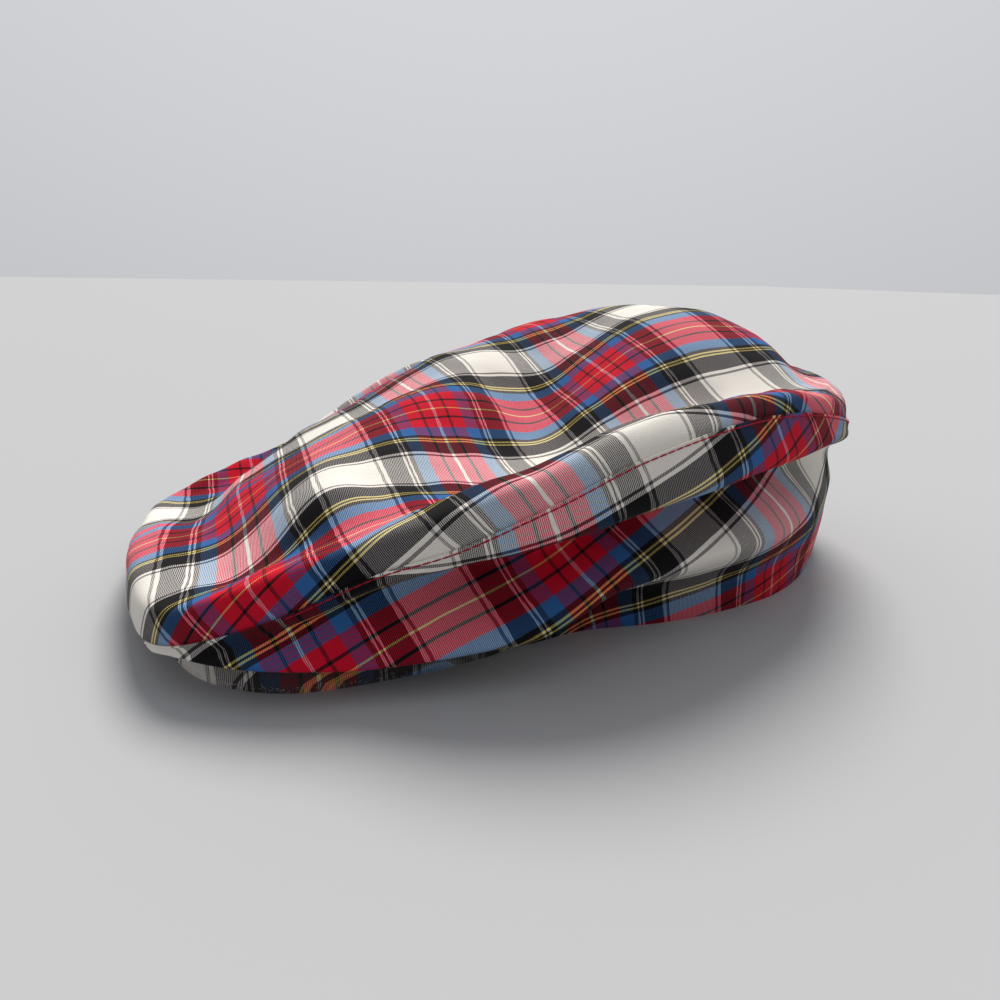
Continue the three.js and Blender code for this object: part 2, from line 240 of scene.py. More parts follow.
def top_height(x, y):
    """Height of the crown's top from the table."""
    heights = np.array([row[1] for row in TOP_SECTIONS], float)
    i, f = place([row[0] for row in TOP_SECTIONS], y)
    j, g = place(TOP_COLUMNS, x)

    def height(a, b):
        a = np.clip(a, 0, heights.shape[0] - 1)
        return heights[a, np.clip(b, 0, heights.shape[1] - 1)]

    return in_cell(height, i, j, f, g)


def smooth_step(value, low, high):
    """0 up to low, 1 from high on, and a smooth rise between them."""
    f = np.clip((value - low) / (high - low), 0, 1)
    return f * f * (3 - 2 * f)


def top_points(turn, outward):
    """Points on the top, from the centre (0) out to the crest (1)."""
    crest = side_points(turn, 0)
    x, y = crest[..., 0] * outward, crest[..., 1] * outward
    climb = smooth_step(outward, SHOULDER, 1)
    z = top_height(x, y) * (1 - climb) + crest[..., 2] * climb
    return np.stack([x, y, z], -1)


# ---- Laying a folded panel flat, so that the tartan runs as it does in cut cloth --------
PULL_RANGE = (0.02, 20)  # keeps thin triangles from pulling too weakly or too hard
LEAST_AREA = 1e-6
SOLVER_STEPS = 60
SOLVED = 1e-9
TINY = 1e-30  # keeps a finished solve from dividing by nothing


def flat_triangles(points, triangles):
    """Each triangle's sides drawn flat by itself, and how hard each side pulls."""
    corner = points[triangles]
    edge = np.roll(corner, -1, 1) - corner  # edge k runs from corner k to k + 1
    first = np.linalg.norm(edge[:, 0], axis=1)
    area = np.linalg.norm(np.cross(edge[:, 0], edge[:, 1]), axis=1) / 2
    area = np.maximum(area, LEAST_AREA)
    drawn = np.zeros((len(triangles), 3, 2))
    drawn[:, 1, 0] = first
    drawn[:, 2, 0] = (edge[:, 0] * -edge[:, 2]).sum(1) / first
    drawn[:, 2, 1] = 2 * area / first
    pull = np.empty((len(triangles), 3))
    for k in range(3):  # cotangent of the corner across from edge k
        a, b = -edge[:, (k + 1) % 3], edge[:, (k + 2) % 3]
        pull[:, k] = (a * b).sum(1) / (2 * area)
    return np.roll(drawn, -1, 1) - drawn, np.clip(pull, *PULL_RANGE)


def turned_to_fit(side, pull, shown):
    """The triangles' own sides, each triangle turned as it is shown in the layout."""
    cross = np.einsum("tk,tki,tkj->tij", pull, side, shown)
    angle = np.arctan2(cross[:, 0, 1] - cross[:, 1, 0], cross[:, 0, 0] + cross[:, 1, 1])
    c, s = np.cos(angle)[:, None], np.sin(angle)[:, None]
    x, y = side[..., 0], side[..., 1]
    return np.stack([x * c - y * s, x * s + y * c], -1)


def solve(spread, fill, wanted, flat):
    """Conjugate gradients from flat towards the layout for which spread gives what is wanted."""
    rest = wanted - spread(flat)
    step = rest * fill
    size = (rest * step).sum(0)
    for _ in range(SOLVER_STEPS):
        pushed = spread(step)
        far = size / np.maximum((step * pushed).sum(0), TINY)
        flat = flat + far * step
        rest = rest - far * pushed
        lead = rest * fill
        new = (rest * lead).sum(0)
        if new.max() < SOLVED:
            break
        step = lead + (new / np.maximum(size, TINY)) * step
        size = new
    return flat


def lay_flat(points, triangles, flat, rounds):
    """Flat coordinates of a surface that keep its lengths, starting from a rough layout."""
    side, pull = flat_triangles(points, triangles)
    start, stop = triangles.ravel(), np.roll(triangles, -1, 1).ravel()
    weight = pull.ravel()
    count = len(points)
    held = np.zeros((count, 1))
    held[0] = 1  # one point stays, so that the sheet can't drift
    stays = held * flat[0]
    pulls = np.bincount(start, weight, count) + np.bincount(stop, weight, count)
    fill = 1 / (pulls[:, None] + held)

    def spread(layout):
        difference = (layout[start] - layout[stop]) * weight[:, None]
        out = layout * held
        for k in range(2):
            out[:, k] += np.bincount(start, difference[:, k], count)
            out[:, k] -= np.bincount(stop, difference[:, k], count)
        return out

    for _ in range(rounds):
        shown = flat[triangles]
        turned = turned_to_fit(side, pull, np.roll(shown, -1, 1) - shown)
        force = (turned * pull[..., None]).reshape(-1, 2)
        wanted = stays.copy()
        for k in range(2):
            wanted[:, k] += np.bincount(stop, force[:, k], count) - np.bincount(start, force[:, k], count)
        flat = solve(spread, fill, wanted, flat)
    return flat


def put_on_grain(flat, here, there, at, way):
    """Turns and moves a laid-out panel: point here comes to at, and there lies way from it."""
    along = flat[there] - flat[here]
    angle = math.atan2(way[1], way[0]) - math.atan2(along[1], along[0])
    c, s = math.cos(angle), math.sin(angle)
    return (flat - flat[here]) @ np.array([[c, s], [-s, c]]) + at


def grid_triangles(rows, columns, closed):
    """Two triangles over each cell of a grid; rows follow one another outwards or down."""
    cells = columns if closed else columns - 1
    i, j = np.meshgrid(np.arange(rows - 1), np.arange(cells), indexing="ij")
    after = (j + 1) % columns
    a, b = i * columns + j, i * columns + after
    c, d = (i + 1) * columns + after, (i + 1) * columns + j
    halves = [np.stack(corners, -1).reshape(-1, 3) for corners in ((a, d, c), (a, c, b))]
    return np.concatenate(halves)


def resample(grid, rows, columns, closed):
    """A smooth finer grid through a coarse one, both even from first to last row."""
    r = np.linspace(0, grid.shape[0] - 1, rows)[:, None] + np.zeros((1, columns))
    c = np.linspace(0, grid.shape[1] - (0 if closed else 1), columns, endpoint=not closed)
    c = np.zeros((rows, 1)) + c[None, :]
    i = np.clip(np.floor(r).astype(int), 0, grid.shape[0] - 2)
    j = np.floor(c).astype(int)
    j = j if closed else np.clip(j, 0, grid.shape[1] - 2)
    f, g = (r - i)[..., None], (c - j)[..., None]

    def spot(a, b):
        a = np.clip(a, 0, grid.shape[0] - 1)
        b = b % grid.shape[1] if closed else np.clip(b, 0, grid.shape[1] - 1)
        return grid[a, b]

    return in_cell(spot, i, j, f, g)


# ---- How the cloth is cut ---------------------------------------------------------------
# On the top the middle of a white band runs from one place to the other, by x and y on the cap
# seen from above, and a second band crosses it at the first.
TOP_BAND = ((40, -78), (50, 80))
# On a side panel the yellow pair beside a white band runs from one place to the other, by turn
# and line. The first lies this far short of a crossing band.
SIDE_PAIR = ((-43, 3.5), (0, 2.7))
SIDE_PAIR_SHORT = 14.0
PAIR_MIDDLE = 18.5  # from the middle of the white band to the middle of the pair
LINE_AS_TURN = 20  # degrees that a line counts for when the nearest place is looked up

# How far the top's cloth is eased across towards the crest where it is sewn in, by turn.
TOP_EASE = [
    # turn, ease
    (-90, -10),
    (-66, -8),
    (-42, 10),
    (-32, 7.5),
    (-22, 4),
    (-8, 0.5),
    (4, -3.5),
    (25, -6),
    (60, -4),
    (90, 0),
]
EASE_FROM, EASE_FULL = 0.3, 0.72  # shares of the way out between which the ease grows

TOP_SHARE = 0.74  # share of the top's rows that lie inside the crest
TOP_FLAT_GRID, TOP_FLAT_ROUNDS = (42, 108), 60  # rows and columns that are laid flat
SIDE_FLAT_GRID, SIDE_FLAT_ROUNDS = (30, 100), 40
NOISE_WAVES = 9


def turns_round(columns):
    """Even turns round the whole cap, from the nose."""
    return np.linspace(-90, 270, columns, endpoint=False)


def top_surface(rows, columns):
    """The top's outside as a grid of rings, from the middle out to the seam."""
    turn = turns_round(columns)[None, :]
    share = np.linspace(0, 1, rows)[:, None]
    outward = FIRST_RING + np.clip(share / TOP_SHARE, 0, 1) * (1 - FIRST_RING)
    line = np.clip((share - TOP_SHARE) / (1 - TOP_SHARE), 0, 1) * SEAM_LINE
    inside = top_points(turn, np.broadcast_to(outward, (rows, columns)))
    outside = side_points(turn, np.broadcast_to(line, (rows, columns)))
    return np.where((share <= TOP_SHARE)[..., None], inside, outside)


def side_surface(rows, columns, mirrored):
    """A side panel's outside as a grid, from the seam down, and its turns and lines."""
    turn = np.linspace(PANEL_TIP, 90, columns)[None, :]
    lower = ON_PEAK_LINE + (RIM_LINE - ON_PEAK_LINE) * smooth_step(turn, STRIP_START, STRIP_FULL)
    closing = 1 - smooth_step(turn, PANEL_TIP - TIP_BLUNT, PANEL_TIP + TIP_TAPER)
    lower = lower - (ON_PEAK_LINE - SEAM_LINE - TIP_OPEN) * closing
    share = np.linspace(0, 1, rows)[:, None]
    line = SEAM_LINE + (lower - SEAM_LINE) * share
    turn = np.broadcast_to(turn, line.shape)
    points = side_points(180 - turn if mirrored else turn, line)
    points[..., 2] = np.where(line >= RIM_LINE, 0, points[..., 2])
    return points, turn, line


def top_cloth():
    """The top laid flat, with long to the right, on a coarse grid of rings."""
    surface = top_surface(*TOP_FLAT_GRID)
    rows, columns = surface.shape[:2]
    step = np.linalg.norm(np.diff(surface, axis=0), axis=2)
    first = np.linalg.norm(surface[:1, :, :2], axis=2)
    out = np.concatenate([first, step]).cumsum(0)
    turn = turns_round(columns)
    angle = np.radians(turn)
    flat = np.stack([np.cos(angle) * out, np.sin(angle) * out], -1).reshape(-1, 2)
    points = surface.reshape(-1, 3)
    flat = lay_flat(points, grid_triangles(rows, columns, True), flat, TOP_FLAT_ROUNDS)
    inner = points[: int(rows * TOP_SHARE) * columns, :2]
    here, there = [np.hypot(*(inner - spot).T).argmin() for spot in TOP_BAND]
    at = points[here, :2] - TOP_BAND[0]
    flat = put_on_grain(flat, here, there, at, (0, 1)).reshape(rows, columns, 2)
    ease = np.interp(turn, *zip(*TOP_EASE))
    flat[..., 0] += ease * smooth_step(np.linspace(0, 1, rows)[:, None], EASE_FROM, EASE_FULL)
    return flat


def side_cloth(mirrored):
    """A side panel laid flat on a coarse grid, its seam along the top."""
    surface, turn, line = side_surface(*SIDE_FLAT_GRID, mirrored)
    rows, columns = surface.shape[:2]
    down = np.zeros((rows, columns))
    down[1:] = np.linalg.norm(np.diff(surface, axis=0), axis=2).cumsum(0)
    along = np.zeros(columns)
    upper = surface[rows // 3]  # a row a third of the way down
    along[1:] = np.linalg.norm(np.diff(upper, axis=0), axis=1).cumsum()
    flat = np.stack([np.broadcast_to(along, down.shape), -down], -1).reshape(-1, 2)
    triangles = grid_triangles(rows, columns, False)
    hand = -1 if mirrored else 1
    if mirrored:
        triangles = triangles[:, ::-1]
        flat = flat * (-1, 1)
    flat = lay_flat(surface.reshape(-1, 3), triangles, flat, SIDE_FLAT_ROUNDS)
    here, there = [
        np.hypot(turn - pair_turn, (line - pair_line) * LINE_AS_TURN).argmin()
        for pair_turn, pair_line in SIDE_PAIR
    ]
    at = (-hand * SIDE_PAIR_SHORT, -PAIR_MIDDLE)
    return put_on_grain(flat, here, there, at, (hand, 0)).reshape(rows, columns, 2)


def soft_noise(cloth, seed, low, high):
    """Gentle irregularity over the cloth from a few crossing waves, between two wavelengths."""
    random = np.random.default_rng(seed)
    x, y = cloth[..., 0], cloth[..., 1]
    total = np.zeros_like(x)
    for _ in range(NOISE_WAVES):
        length = random.uniform(low, high)
        angle, phase = random.uniform(0, math.pi), random.uniform(0, 2 * math.pi)
        total += np.sin(2 * math.pi * (x * math.cos(angle) + y * math.sin(angle)) / length + phase)
    return total / math.sqrt(NOISE_WAVES)


# ---- Cloth in Blender -------------------------------------------------------------------
def linear(red, green, blue):
    """A screen colour (0 to 255) as Blender's linear colour."""
    values = [c / 255 for c in (red, green, blue)]
    values = [c / 12.92 if c <= 0.04045 else ((c + 0.055) / 1.055) ** 2.4 for c in values]
    return (*values, 1.0)


THREADS = {
    "white": linear(232, 227, 218),
    "black": linear(14, 12, 15),
    "dark": linear(70, 66, 68),
    "red": linear(200, 14, 42),
    "blue": linear(48, 98, 158),
    "yellow": linear(222, 200, 102),
}
SHADED = linear(20, 16, 20)
WORN = linear(196, 190, 186)

# Half a repeat of the tartan, counted from the middle of the white band: where each colour
# starts, its colour in the lines across the cap and in the lines along it.
STRIPES = [
    # start, cross lines, long lines
    (0.0, "white", "white"),
    (8.5, "dark", "dark"),
    (9.5, "white", "white"),
    (10.8, "black", "black"),
    (17.45, "white", "yellow"),
    (18.15, "black", "black"),
    (18.85, "white", "yellow"),
    (19.55, "black", "black"),
    (21.05, "blue", "blue"),
    (25.55, "red", "red"),
    (30.05, "black", "black"),
    (31.0, "red", "red"),
    (34.35, "white", "red"),
    (34.7, "white", "yellow"),
]


def add_object(name, data):
    """A new object in the scene."""
    made = bpy.data.objects.new(name, data)
    bpy.context.scene.collection.objects.link(made)
    return made


def new_mesh(name, points, faces, cloth=None, sharp=55):
    """A smooth object from points in millimetres; cloth gives each point's place on the cloth."""
    mesh = bpy.data.meshes.new(name)
    shifted = np.asarray(points, float) - (0, OUTLINE_MIDDLE_Y, 0)
    mesh.from_pydata((shifted * MM).tolist(), [], faces)
    if cloth is not None:
        layer = mesh.uv_layers.new(name="cloth")
        corner = np.empty(len(mesh.loops), int)
        mesh.loops.foreach_get("vertex_index", corner)
        layer.data.foreach_set("uv", (cloth[corner] / SETT).ravel())
    mesh.polygons.foreach_set("use_smooth", [True] * len(mesh.polygons))
    mesh.set_sharp_from_angle(angle=math.radians(sharp))
    return add_object(name, mesh)


def unit(directions):
    """The same directions, each with length 1."""
    return directions / np.maximum(np.linalg.norm(directions, axis=-1, keepdims=True), 1e-9)


def grid_normals(surface, closed):
    """Outward directions of a grid of points."""
    if closed:
        around = np.roll(surface, -1, 1) - np.roll(surface, 1, 1)
    else:
        around = np.gradient(surface, axis=1)
    return unit(np.cross(np.gradient(surface, axis=0), around))


def wall(name, surface, cloth, closed=False, flip=False):
    """A closed wall of cloth behind a grid of outside points."""
    rows, columns = surface.shape[:2]
    inside = surface - grid_normals(surface, closed) * (-CLOTH if flip else CLOTH)
    inside[..., 2] = np.where(surface[..., 2] <= 0, 0, inside[..., 2])
    points = [surface.reshape(-1, 3), inside.reshape(-1, 3)]
    on_cloth = [cloth.reshape(-1, 2)] * 2
    count = rows * columns
    index = np.arange(count).reshape(rows, columns)
    if closed:
        index = np.concatenate([index, index[:, :1]], 1)
    a, b = index[:-1, :-1].ravel(), index[:-1, 1:].ravel()
    c, d = index[1:, 1:].ravel(), index[1:, :-1].ravel()
    quads = np.stack([a, d, c, b], -1)
    faces = quads.tolist() + (quads[:, ::-1] + count).tolist()
    if closed:
        edge = index[-1]
    else:
        edge = np.concatenate([index[0, ::-1], index[1:, 0], index[-1, 1:], index[-2::-1, -1]])
    for start, end in zip(edge[:-1].tolist(), edge[1:].tolist()):
        faces.append([start, start + count, end + count, end])
    if closed:
        points += [surface[:1].mean(1), inside[:1].mean(1)]
        on_cloth += [cloth[:1].mean(1)] * 2
        middle = 2 * count
        ring = list(zip(index[0, :-1].tolist(), index[0, 1:].tolist()))
        faces += [[middle, start, end] for start, end in ring]
        faces += [[middle + 1, end + count, start + count] for start, end in ring]
    if flip:
        faces = [face[::-1] for face in faces]
    return new_mesh(name, np.concatenate(points), faces, np.concatenate(on_cloth), sharp=60)


# ---- Shader groups ----------------------------------------------------------------------
class Group:
    """A shader node group and short ways to fill it."""

    def __init__(self, name, inputs, outputs):
        self.tree = bpy.data.node_groups.new(name, "ShaderNodeTree")
        for label, kind, value in inputs:
            socket = self.tree.interface.new_socket(name=label, in_out="INPUT", socket_type=kind)
            if value is not None:
                socket.default_value = value
        for label, kind in outputs:
            self.tree.interface.new_socket(name=label, in_out="OUTPUT", socket_type=kind)
        self.source = self.tree.nodes.new("NodeGroupInput").outputs
        self.result = self.tree.nodes.new("NodeGroupOutput").inputs

    def link(self, value, socket):
        """Joins an output to a socket, or sets the socket to a plain value."""
        if isinstance(value, bpy.types.NodeSocket):
            self.tree.links.new(value, socket)
        else:
            socket.default_value = value

    def math(self, operation, *values):
        node = self.tree.nodes.new("ShaderNodeMath")
        node.operation = operation
        for value, socket in zip(values, node.inputs):
            self.link(value, socket)
        return node.outputs[0]

    def mix(self, share, a, b):
        node = self.tree.nodes.new("ShaderNodeMix")
        node.data_type = "RGBA"
        for value, name in ((share, "Factor_Float"), (a, "A_Color"), (b, "B_Color")):
            self.link(value, next(s for s in node.inputs if s.identifier == name))
        return next(s for s in node.outputs if s.identifier == "Result_Color")

    def noise(self, vector, scale):
        node = self.tree.nodes.new("ShaderNodeTexNoise")
        self.link(vector, node.inputs["Vector"])
        node.inputs["Scale"].default_value = scale
        return node.outputs["Fac"]

    def split(self, vector):
        node = self.tree.nodes.new("ShaderNodeSeparateXYZ")
        self.link(vector, node.inputs[0])
        return node.outputs

    def gamma(self, colour, power):
        node = self.tree.nodes.new("ShaderNodeGamma")
        self.link(colour, node.inputs["Color"])
        node.inputs["Gamma"].default_value = power
        return node.outputs[0]

    def range(self, value, low, high, to_low, to_high):
        node = self.tree.nodes.new("ShaderNodeMapRange")
        for v, socket in zip((value, low, high, to_low, to_high), node.inputs):
            self.link(v, socket)
        return node.outputs[0]

    def place_group(self, tree):
        node = self.tree.nodes.new("ShaderNodeGroup")
        node.node_tree = tree
        return node


CROSS_LINES, LONG_LINES = 1, 2  # their columns in STRIPES


def stripes_group(name, column):
    """Colour of one set of the tartan's lines; Position counts in repeats."""
    g = Group(name, [("Position", "NodeSocketFloat", 0.0)], [("Color", "NodeSocketColor")])
    turned = g.math("PINGPONG", g.source["Position"], 0.5)
    ramp = g.tree.nodes.new("ShaderNodeValToRGB")
    ramp.color_ramp.interpolation = "CONSTANT"
    stops = ramp.color_ramp.elements
    stops.remove(stops[1])  # a new ramp has two
    for k, row in enumerate(STRIPES):
        at = row[0] / (SETT / 2)
        stop = stops[0] if k == 0 else stops.new(at)
        stop.position = at
        stop.color = THREADS[row[column]]
    g.link(g.math("MULTIPLY", turned, 2.0), ramp.inputs[0])
    g.link(ramp.outputs["Color"], g.result["Color"])
    return g.tree


RIB = 0.48  # distance between the weave's ribs
DOT = 0.44  # distance between threads along a rib
RIB_LEAN = 0.07  # how much the ribs lean
RIB_HEIGHT, DOT_HEIGHT = 0.5, 0.25
DOT_SHARE = 0.35  # how much the threads along a rib tell in the colour, beside the ribs
LEAST_CROSS = 0.04  # share of the cross threads' colour between the ribs
MOST_CROSS = 0.74  # and on them
MIX_GAMMA = 4.0  # dark threads shade the light ones beside them, so they count for more

# Noise over the cloth: how fine it is, and how much it does. WANDER and WOBBLE are in repeats.
WANDER_FINE, WANDER = 60.0, 0.004  # of the ribs
WOBBLE_FINE, WOBBLE = 9.0, 0.006  # of the tartan's lines
SHADE_FINE, SHADE = 260.0, 0.12
SHADE_FROM, SHADE_TO = 0.3, 0.7


def weave_group():
    """The fine ribs of the cloth: which set of threads is on top, and their height."""
    inputs = [("Cloth", "NodeSocketVector", None)]
    g = Group("Ribbed weave", inputs, [("Cross on top", "NodeSocketFloat"), ("Height", "NodeSocketFloat")])
    cross, long = g.split(g.source["Cloth"])[:2]
    wander = g.math("MULTIPLY", g.noise(g.source["Cloth"], WANDER_FINE), WANDER)
    lean = g.math("MULTIPLY", long, RIB_LEAN)
    rib = g.math("ADD", g.math("ADD", cross, lean), wander)
    rib = g.math("SINE", g.math("MULTIPLY", rib, 2 * math.pi * SETT / RIB))
    dot = g.math("SINE", g.math("MULTIPLY", g.math("ADD", long, lean), 2 * math.pi * SETT / DOT))
    uneven = g.math("ADD", rib, g.math("MULTIPLY", dot, DOT_SHARE))
    g.link(g.range(uneven, -1.0, 1.0, LEAST_CROSS, MOST_CROSS), g.result["Cross on top"])
    height = g.math("ADD", g.math("MULTIPLY", rib, RIB_HEIGHT), g.math("MULTIPLY", dot, DOT_HEIGHT))
    g.link(height, g.result["Height"])
    return g.tree


def tartan_group(weave, cross_lines, long_lines):
    """The whole cloth: tartan colour and weave height from the cloth's coordinates."""
    inputs = [("Cloth", "NodeSocketVector", None), ("Faded", "NodeSocketFloat", 0.0)]
    g = Group("Tartan cloth", inputs, [("Color", "NodeSocketColor"), ("Height", "NodeSocketFloat")])
    place_on = g.source["Cloth"]
    cross, long = g.split(place_on)[:2]
    wobble = g.math("SUBTRACT", g.noise(place_on, WOBBLE_FINE), 0.5)
    wobble = g.math("MULTIPLY", wobble, WOBBLE)
    colours = []
    for tree, value in ((cross_lines, cross), (long_lines, long)):
        lines = g.place_group(tree)
        g.link(g.math("ADD", value, wobble), lines.inputs["Position"])
        colours.append(g.gamma(lines.outputs["Color"], 1 / MIX_GAMMA))
    woven = g.place_group(weave)
    g.link(place_on, woven.inputs["Cloth"])
    colour = g.gamma(g.mix(woven.outputs["Cross on top"], colours[1], colours[0]), MIX_GAMMA)
    shade = g.range(g.noise(place_on, SHADE_FINE), SHADE_FROM, SHADE_TO, 0.0, SHADE)
    colour = g.mix(shade, colour, SHADED)
    colour = g.mix(g.source["Faded"], colour, WORN)
    g.link(colour, g.result["Color"])
    g.link(woven.outputs["Height"], g.result["Height"])
    return g.tree


# ---- Materials --------------------------------------------------------------------------
CLOTH_FINISH = {  # matt, with a little sheen from its nap
    "Roughness": 0.92,
    "Specular IOR Level": 0.12,
    "Sheen Weight": 0.03,
    "Sheen Roughness": 0.5,
}
PLAIN_FINISH = {"Roughness": 0.9, "Specular IOR Level": 0.2}
WEAVE_BUMP = {"Strength": 0.5, "Distance": 0.00012}
PEAK_FADED = 0.06


def set_values(node, values):
    """Sets a node's sockets by name."""
    for socket, value in values.items():
        node.inputs[socket].default_value = value


def new_material(name, finish):
    """A material with a plain finish, and the nodes to add to it."""
    material = bpy.data.materials.new(name)
    material.use_nodes = True
    surface = material.node_tree.nodes["Principled BSDF"]
    set_values(surface, finish)
    return material, material.node_tree, surface


def cloth_material(name, tartan, faded=0.0):
    """Tartan cloth, placed by the cloth's own coordinates."""
    material, tree, surface = new_material(name, CLOTH_FINISH)
    where = tree.nodes.new("ShaderNodeUVMap")
    where.uv_map = "cloth"
    cloth = tree.nodes.new("ShaderNodeGroup")
    cloth.node_tree = tartan
    cloth.inputs["Faded"].default_value = faded
    tree.links.new(where.outputs["UV"], cloth.inputs["Cloth"])
    tree.links.new(cloth.outputs["Color"], surface.inputs["Base Color"])
    bump = tree.nodes.new("ShaderNodeBump")
    set_values(bump, WEAVE_BUMP)
    tree.links.new(cloth.outputs["Height"], bump.inputs["Height"])
    tree.links.new(bump.outputs["Normal"], surface.inputs["Normal"])
    return material


def plain_material(name, colour):
    """One matt colour."""
    material, _, surface = new_material(name, PLAIN_FINISH)
    surface.inputs["Base Color"].default_value = colour
    return material


lines_across = stripes_group("Lines across", CROSS_LINES)
lines_along = stripes_group("Lines along", LONG_LINES)
tartan = tartan_group(weave_group(), lines_across, lines_along)
crown_cloth = cloth_material("crown_cloth", tartan)
side_panel_cloth = cloth_material("side_cloth", tartan)
peak_cloth = cloth_material("peak_cloth", tartan, PEAK_FADED)
red_thread = plain_material("seam_thread", linear(150, 16, 44))
raw_thread = plain_material("raw_thread", linear(206, 200, 194))


# ---- The pieces -------------------------------------------------------------------------
THREAD_SIDES = 6
STITCH = 2.4  # length of one stitch
STITCH_GAP = 0.15
STITCH_WIDTH = 0.42
STITCH_LIFT = 0.55  # share of its half width by which a stitch's middle stands off the cloth
STITCH_BELOW = 0.9  # from the edge of the side panel down to its row of stitches
STITCHED_FROM = 24  # columns of the side panel's grid forward of the first stitch
STITCH_RINGS = np.array([0, 0.12, 0.5, 0.88, 1])  # shares of its length
STITCH_SWELL = np.array([0.35, 0.85, 1, 0.85, 0.35])  # shares of its width, ring by ring

TOP_GRID = (110, 288)  # rows and columns
WRINKLE_LENGTHS, WRINKLE_HEIGHT = (14, 50), 0.25
WRINKLES_END = 0.9  # share of the rows from which the wrinkles die away towards the seam
SUNK_FROM, SUNK = 0.97, 0.2  # the last rows lie this much deeper, under the side panels' edge

SIDE_GRID = (120, 260)
RIPPLE_LENGTHS, RIPPLE_HEIGHT = (14, 45), 0.2
RIPPLES_END = 0.4  # lines above the rim over which the ripples die away
LAP_HEIGHT = 0.45  # a side panel's seam edge is turned in and laps over the top
LAP_FROM, LAP_TO = 0.2, 0.5  # lines below the seam over which the lap comes down


def finish_piece(piece, material, slot_name, *nodes):
    """Gives a piece its material and its body, and hides the CAD nodes that it stands for; slot_name is
    not used.
    """
    piece.data.materials.append(material)
    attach(piece, "root")
    if nodes:
        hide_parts(*nodes)


def threads(name, middles, radii, across, up):
    """Short closed threads: rings round middles (threads, rings, 3), one radius a ring."""
    count, rings = middles.shape[:2]
    angle = np.linspace(0, 2 * math.pi, THREAD_SIDES, endpoint=False)
    ring = across[..., None, :] * np.cos(angle)[:, None] + up[..., None, :] * np.sin(angle)[:, None]
    points = middles[..., None, :] + ring * np.asarray(radii)[..., None, None]
    index = np.arange(count * rings * THREAD_SIDES).reshape(count, rings, THREAD_SIDES)
    after = np.roll(index, -1, 2)
    walls = np.stack([index[:, :-1], after[:, :-1], after[:, 1:], index[:, 1:]], -1).reshape(-1, 4)
    ends = np.concatenate([index[:, 0, ::-1], index[:, -1]])
    return new_mesh(name, points.reshape(-1, 3), walls.tolist() + ends.tolist())


def row_of_stitches(name, path, outward):
    """Raised red stitches along a path on the cloth, given with its outward directions."""
    long = np.append(0, np.linalg.norm(np.diff(path, axis=0), axis=1).cumsum())
    starts = np.arange(STITCH, long[-1] - 2 * STITCH, STITCH + STITCH_GAP)
    at = starts[:, None] + STITCH_RINGS * STITCH
    middle = np.stack([np.interp(at, long, path[:, k]) for k in range(3)], -1)
    up = np.stack([np.interp(at, long, outward[:, k]) for k in range(3)], -1)
    across = unit(np.cross(up, np.gradient(middle, axis=1)))
    radii = STITCH_SWELL * STITCH_WIDTH / 2
    middle = middle + up * (radii * STITCH_LIFT)[:, None]
    return threads(name, middle, radii, across, up)


def below_seam(surface, outward, distance):
    """The line this far down a side panel from its seam, and the cloth's outward way on it."""
    down = np.linalg.norm(np.diff(surface, axis=0), axis=2).cumsum(0)
    down = np.concatenate([np.zeros_like(down[:1]), down])
    lines = [], []
    for k in range(STITCHED_FROM, surface.shape[1]):
        for line, grid in zip(lines, (surface, outward)):
            line.append([np.interp(distance, down[:, k], grid[:, k, axis]) for axis in range(3)])
    return np.array(lines[0]), np.array(lines[1])


def make_top():
    """The one-piece top, gently wrinkled, and its place on the cloth."""
    surface = top_surface(*TOP_GRID)
    cloth = resample(top_cloth(), *TOP_GRID, True)
    share = np.linspace(0, 1, TOP_GRID[0])[:, None]
    wrinkle = soft_noise(cloth, SEED, *WRINKLE_LENGTHS) * WRINKLE_HEIGHT
    wrinkle = wrinkle * (1 - smooth_step(share, WRINKLES_END, 1)) - SUNK * smooth_step(share, SUNK_FROM, 1)
    surface = surface + grid_normals(surface, True) * wrinkle[..., None]
    piece = wall("crown_top", surface, cloth[..., ::-1], closed=True)
    finish_piece(piece, crown_cloth, "crown_cloth", "top_panel")
    return piece, cloth


def make_side(name, node, mirrored):
    """A side panel with its row of stitches, and its place on the cloth."""
    surface, _, line = side_surface(*SIDE_GRID, mirrored)
    cloth = resample(side_cloth(mirrored), *SIDE_GRID, False)
    outward = grid_normals(surface, False) * (-1 if mirrored else 1)
    ripple = soft_noise(cloth, SEED + 1, *RIPPLE_LENGTHS) * RIPPLE_HEIGHT
    ripple = ripple * smooth_step(line, SEAM_LINE, SEAM_LINE + LAP_TO)
    ripple = ripple * smooth_step(RIM_LINE - line, 0, RIPPLES_END)
    lapped = LAP_HEIGHT * (1 - smooth_step(line, SEAM_LINE + LAP_FROM, SEAM_LINE + LAP_TO))
    surface = surface + outward * (ripple + lapped)[..., None]
    piece = wall(name, surface, cloth * (-1 if mirrored else 1, -1), flip=mirrored)
    finish_piece(piece, side_panel_cloth, "side_cloth", node)
    path, up = below_seam(surface, outward, STITCH_BELOW)
    stitches = row_of_stitches(name + "_stitches", path, up)
    finish_piece(stitches, red_thread, "side_cloth")
    return piece, cloth, stitches


top_panel, top_on_cloth = make_top()
side_panels = [
    make_side("left_side", "side_panel_left", False),
    make_side("right_side", "side_panel_right", True),
]

